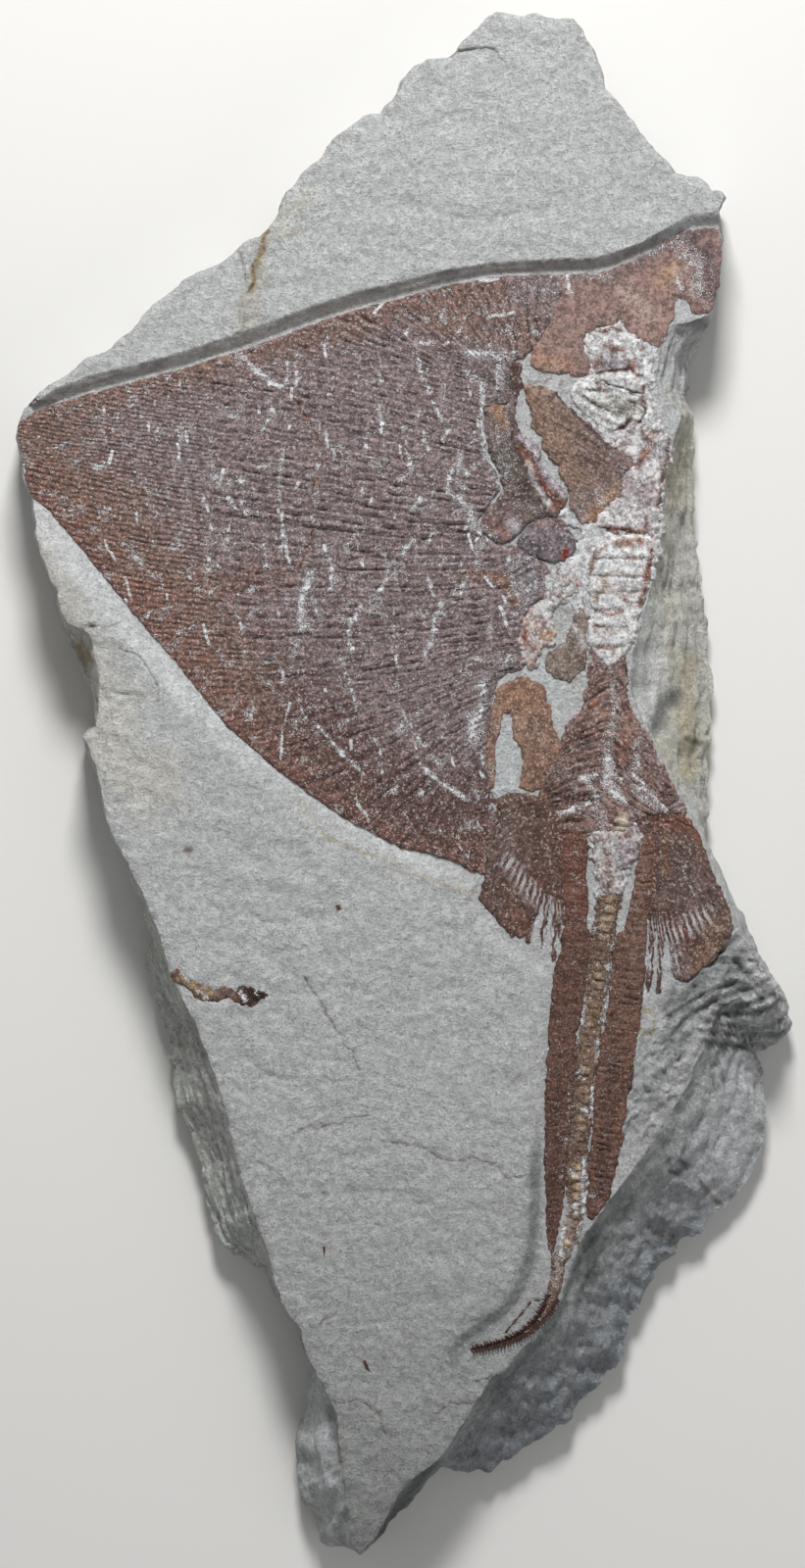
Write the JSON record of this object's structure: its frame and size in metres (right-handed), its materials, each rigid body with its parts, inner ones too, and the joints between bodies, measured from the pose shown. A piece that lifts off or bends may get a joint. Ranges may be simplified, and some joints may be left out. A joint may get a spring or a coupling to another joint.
{
  "type": "fossil fish slab",
  "caption": "Pale grey limestone slab with a pressed fossil ray: one broad wing, head cartilages, pelvic fins, spine and thorny tail, lying face up on a flat underside.",
  "frame": {"origin": "under the middle of the slab's outline, on the flat underside", "axes": "+Z up out of the fossil face, +Y along the slab from the tail end to the pointed top above the wing, +X to the right seen from above with +Y up"},
  "size_m": [0.2496, 0.4944, 0.0343],
  "materials": {
    "limestone": "dry pale grey marly limestone, fine rough grain, weathered and broken flanks",
    "wing_film": "finely granular, ridged along its rays, matt",
    "snout_skin": "smooth pinkish brown film, matt",
    "gill_film": "smooth brown film with faint lines",
    "belly_lobe": "granular dark brown film",
    "belly_skin": "granular rusty brown film",
    "trunk": "striped dark and rusty brown, matt",
    "left_pelvic_fin": "granular brown film with rays",
    "right_pelvic_fin": "granular brown film with rays",
    "tail_skin_left": "granular dark red-brown film",
    "tail_skin_right": "granular red-brown film with fine cross lines",
    "jaw_crust": "chalky white crust with brown edges",
    "shoulder_cartilage": "dark brown cartilage, ridged",
    "shoulder_knob": "dark granular cartilage",
    "shoulder_crust": "white crust with rust streaks",
    "neck_crust": "mottled white and brown crust",
    "spine_crust": "chalky white blocks with rust streaks",
    "hip_crust": "mottled white and grey crust",
    "vertebrae": "ochre, slightly glossy bone",
    "tail_whip": "dark red-brown thorny crust",
    "tail_thread": "dark red-brown",
    "fish_scrap": "ochre to dark brown bone crumbs",
    "bone_chips": "dark brown bone"
  },
  "bodies": {
    "root": {"matrix_slab": "limestone", "pectoral_fin": "wing_film", "snout_skin": "snout_skin", "gill_patch": "gill_film", "belly_lobe": "belly_lobe", "belly_skin": "belly_skin", "trunk_ribs": "trunk", "left_pelvic_fin": "left_pelvic_fin", "right_pelvic_fin": "right_pelvic_fin", "tail_skin_left": "tail_skin_left", "tail_skin_right": "tail_skin_right", "jaw_cartilages": "jaw_crust", "shoulder_girdle": "shoulder_cartilage", "shoulder_knob": "shoulder_knob", "shoulder_crust": "shoulder_crust", "neck_cartilage": "neck_crust", "spine_blocks": "spine_crust", "hip_crust": "hip_crust", "tail_vertebrae": "vertebrae", "tail_whip": "tail_whip", "tail_thread": "tail_thread", "fish_scrap": "fish_scrap", "chip_upper": "bone_chips", "chip_middle": "bone_chips", "chip_lower": "bone_chips"}
  },
  "joints": []
}
